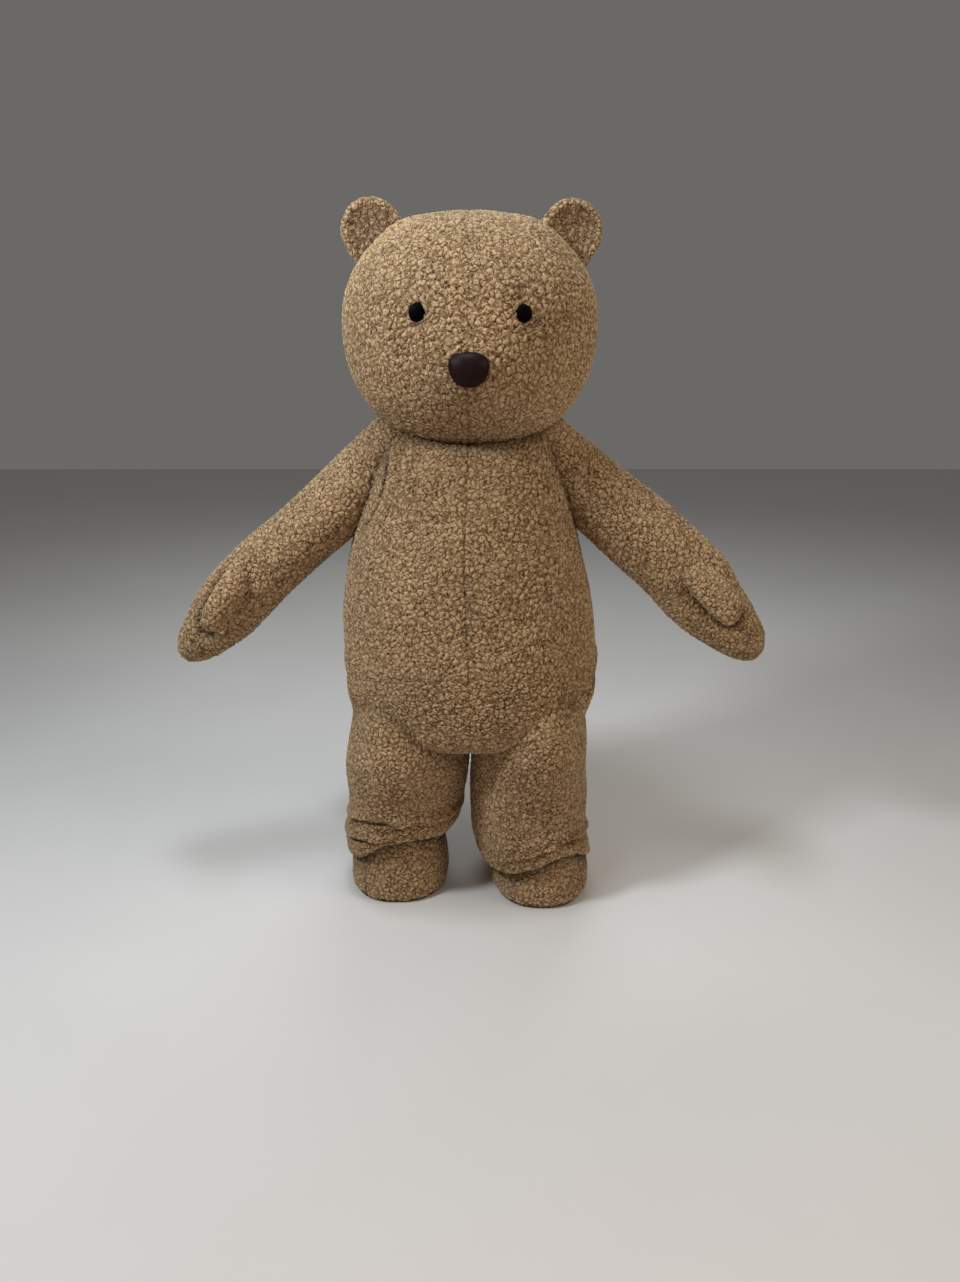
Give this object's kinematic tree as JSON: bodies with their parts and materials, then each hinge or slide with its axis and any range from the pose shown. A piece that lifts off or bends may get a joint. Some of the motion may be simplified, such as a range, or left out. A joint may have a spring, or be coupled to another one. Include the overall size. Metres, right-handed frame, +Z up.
{
  "type": "bear mascot costume",
  "caption": "Life-size plush bear mascot costume, hollow and worn: padded round head, body with sleeves and mittens, wide legs over soft feet, back zip.",
  "frame": {"origin": "between the wearer's shoulders, 1.270 m above the soles' undersides, in the body's middle", "axes": "+Z up, -Y the way the costume faces, +X towards the wearer's left"},
  "size_m": [1.5627, 0.5927, 1.7995],
  "materials": {
    "fleece": "curly pile, matt",
    "fleece_dark": "shorter nap inside the ears, matt",
    "eye_black": "gloss",
    "nose_brown": "smooth stuffed nose with a slight sheen",
    "sole_grip": "matt",
    "zip_tape": "woven tape and coil",
    "zip_metal": "aged, satin"
  },
  "bodies": {
    "costume": {"face_left": "fleece", "face_right": "fleece", "head_back_left": "fleece", "head_back_right": "fleece", "ear_left_back": "fleece", "ear_right_back": "fleece", "body_front_left": "fleece", "body_front_right": "fleece", "body_back_left": "fleece", "body_back_right": "fleece", "arm_left_front": "fleece", "arm_left_back": "fleece", "arm_right_front": "fleece", "arm_right_back": "fleece", "thumb_left": "fleece", "thumb_right": "fleece", "leg_left_front": "fleece", "leg_left_back": "fleece", "leg_right_front": "fleece", "leg_right_back": "fleece", "foot_left": "fleece", "foot_right": "fleece", "ear_left_front": "fleece_dark", "ear_right_front": "fleece_dark", "eye_left": "eye_black", "eye_right": "eye_black", "nose": "nose_brown", "sole_left": "sole_grip", "sole_right": "sole_grip", "back_zip": "zip_tape", "zip_slider": "zip_metal"},
    "zip_pull": {"zip_pull": "zip_metal"}
  },
  "joints": [
    {"name": "pull_tab_swing", "type": "hinge", "parent": "costume", "child": "zip_pull", "pos_m": [-0.0005, 0.19784, -0.03576], "axis": [1, 0, 0], "range_deg": [0, 150]}
  ]
}
